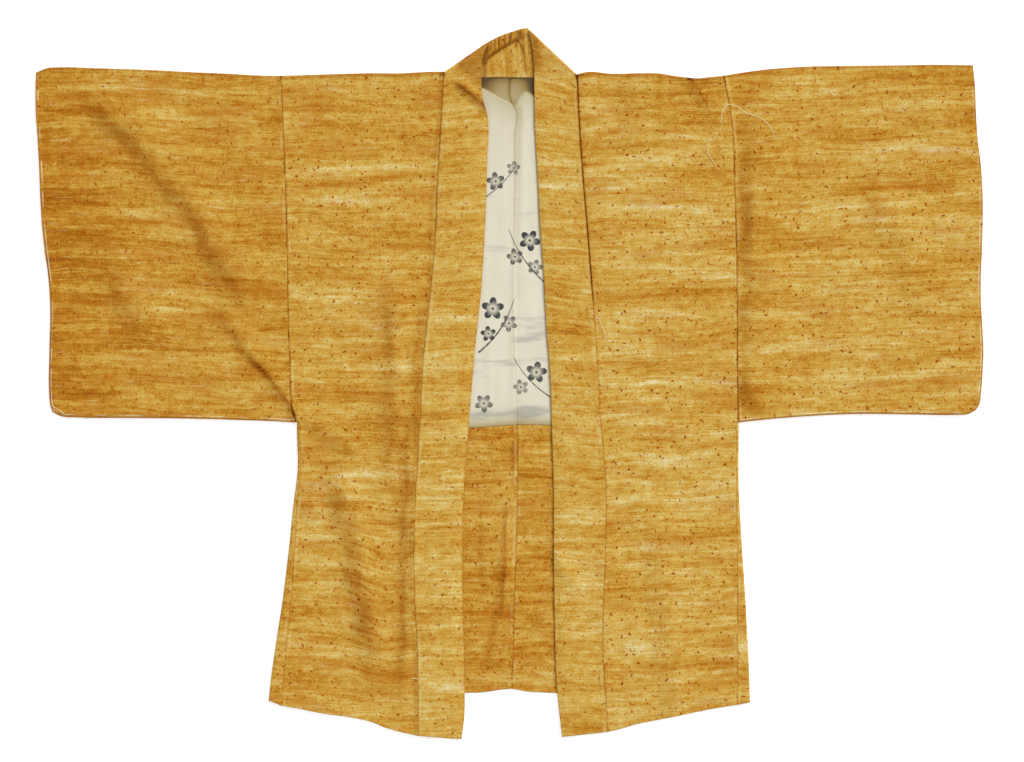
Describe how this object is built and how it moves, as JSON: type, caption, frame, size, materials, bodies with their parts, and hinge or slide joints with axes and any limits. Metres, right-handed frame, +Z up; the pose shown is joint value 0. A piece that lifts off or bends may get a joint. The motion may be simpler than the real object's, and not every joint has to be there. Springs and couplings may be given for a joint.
{
  "type": "haori jacket",
  "caption": "Thigh-length open-fronted haori jacket with square sleeves and a banded collar, laid out flat, face up.",
  "frame": {"origin": "centre of the jacket's outline, on the surface that its back lies on", "axes": "+X across the jacket towards the wearer's left sleeve, +Y up the jacket towards the collar, +Z up, off the surface"},
  "size_m": [1.2819, 0.9604, 0.0114],
  "materials": {
    "outer_cloth": "slubby ochre silk with darker weft-wise streaks and small brown flecks",
    "lining_silk": "smooth cream silk with grey brushed motifs"
  },
  "bodies": {
    "root": {"body_right": "outer_cloth", "body_left": "outer_cloth", "sleeve_right": "outer_cloth", "sleeve_left": "outer_cloth", "gusset_right": "outer_cloth", "gusset_left": "outer_cloth", "collar": "outer_cloth", "lining_back_right": "lining_silk", "lining_back_left": "lining_silk", "hem_facing_right": "outer_cloth", "hem_facing_left": "outer_cloth"}
  },
  "joints": []
}
